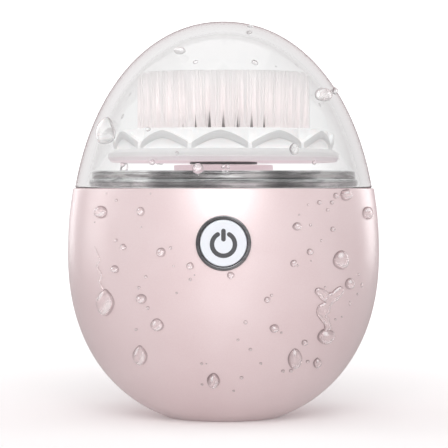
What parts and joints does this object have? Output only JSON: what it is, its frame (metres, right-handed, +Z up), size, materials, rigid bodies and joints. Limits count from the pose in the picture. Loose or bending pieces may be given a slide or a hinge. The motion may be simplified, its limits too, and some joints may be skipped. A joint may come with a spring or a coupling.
{
  "type": "facial cleansing brush",
  "caption": "Egg-shaped powered facial cleansing brush with a clear lift-off cover, a spinning round bristle head and a front push button.",
  "frame": {"origin": "centre of the body's flat base, on the surface it stands on", "axes": "+Z up along the axis of the body, the brush and the motor; the power button faces -Y; +X right"},
  "size_m": [0.0738, 0.0741, 0.0937],
  "materials": {
    "body_pearl": "pearl lacquer, gloss",
    "deck_pink": "gloss",
    "neck_chrome": "dark chrome",
    "seal_rubber": "matt",
    "bronze": "sintered",
    "chassis_plastic": "moulded",
    "screw_steel": "zinc plated",
    "gear_plastic": "acetal",
    "shaft_steel": "ground",
    "can_steel": "nickel plated",
    "magnet": "ferrite",
    "end_cap": "moulded",
    "brush_copper": "sprung copper alloy",
    "cell_pouch": "foil pouch",
    "board": "solder mask",
    "components": "moulded epoxy",
    "led": "clear epoxy",
    "switch": "moulded",
    "coil_copper": "enamelled wire",
    "ferrite": "sintered",
    "lead_wire": "insulated",
    "bezel_metal": "dark chrome",
    "membrane": "silicone",
    "clear_plastic": "clear, polished",
    "coupling_dark": "satin",
    "head_white": "pearl",
    "skirt_silicone": "silicone",
    "bristle_white": "nylon filament",
    "core_steel": "laminated",
    "button_white": "translucent",
    "icon_grey": "moulded"
  },
  "bodies": {
    "handle": {"body_shell": "body_pearl", "deck_plate": "deck_pink", "neck_ring": "neck_chrome", "deck_seal": "seal_rubber", "spindle_seal": "seal_rubber", "deck_bush": "bronze", "chassis": "chassis_plastic", "chassis_screws": "screw_steel", "gearbox_housing": "chassis_plastic", "gearbox_cover": "chassis_plastic", "gearbox_screws": "screw_steel", "cover_bush": "bronze", "idler_axle": "shaft_steel", "motor_can": "can_steel", "motor_magnets": "magnet", "motor_end_cap": "end_cap", "motor_bearings": "bronze", "motor_brushes": "brush_copper", "battery_cell": "cell_pouch", "circuit_board": "board", "board_components": "components", "board_screws": "screw_steel", "indicator_led": "led", "switch_body": "switch", "charging_coil": "coil_copper", "ferrite_plate": "ferrite", "motor_leads": "lead_wire", "battery_leads": "lead_wire", "coil_leads": "lead_wire", "button_bezel": "bezel_metal", "button_membrane": "membrane"},
    "cover": {"clear_cover": "clear_plastic"},
    "brush": {"output_spindle": "shaft_steel", "output_gear": "gear_plastic", "drive_coupling": "coupling_dark", "head_base": "head_white", "wavy_skirt": "skirt_silicone", "bristle_plate": "head_white", "outer_bristles": "bristle_white", "inner_bristles": "bristle_white"},
    "idler": {"idler_gear": "gear_plastic"},
    "rotor": {"motor_shaft": "shaft_steel", "motor_pinion": "gear_plastic", "rotor_core": "core_steel", "rotor_windings": "coil_copper", "commutator": "brush_copper"},
    "button": {"power_button": "button_white", "button_icon": "icon_grey"},
    "switch_plunger": {"switch_plunger": "switch"}
  },
  "joints": [
    {"name": "cover_lift", "type": "slide", "parent": "handle", "child": "cover", "axis": [0, 0, 1], "range_m": [0, 0.06]},
    {"name": "brush_spin", "type": "hinge", "parent": "handle", "child": "brush", "pos_m": [0, 0, 0.06], "axis": [0, 0, 1], "continuous": true},
    {"name": "idler_spin", "type": "hinge", "parent": "handle", "child": "idler", "pos_m": [0, 0.0135, 0.041], "axis": [0, 0, 1], "continuous": true},
    {"name": "rotor_spin", "type": "hinge", "parent": "handle", "child": "rotor", "pos_m": [0, 0, 0.025], "axis": [0, 0, 1], "continuous": true},
    {"name": "button_press", "type": "slide", "parent": "handle", "child": "button", "axis": [0, 1, 0], "range_m": [0, 0.0004], "stiffness_N_per_m": 400},
    {"name": "switch_travel", "type": "slide", "parent": "handle", "child": "switch_plunger", "axis": [0, 1, 0], "range_m": [0, 0.0004]}
  ],
  "couplings": [
    {"joint": "idler_spin", "follows": "brush_spin", "ratio": -3.5},
    {"joint": "rotor_spin", "follows": "brush_spin", "ratio": 12.25},
    {"joint": "switch_travel", "follows": "button_press", "ratio": 1}
  ]
}
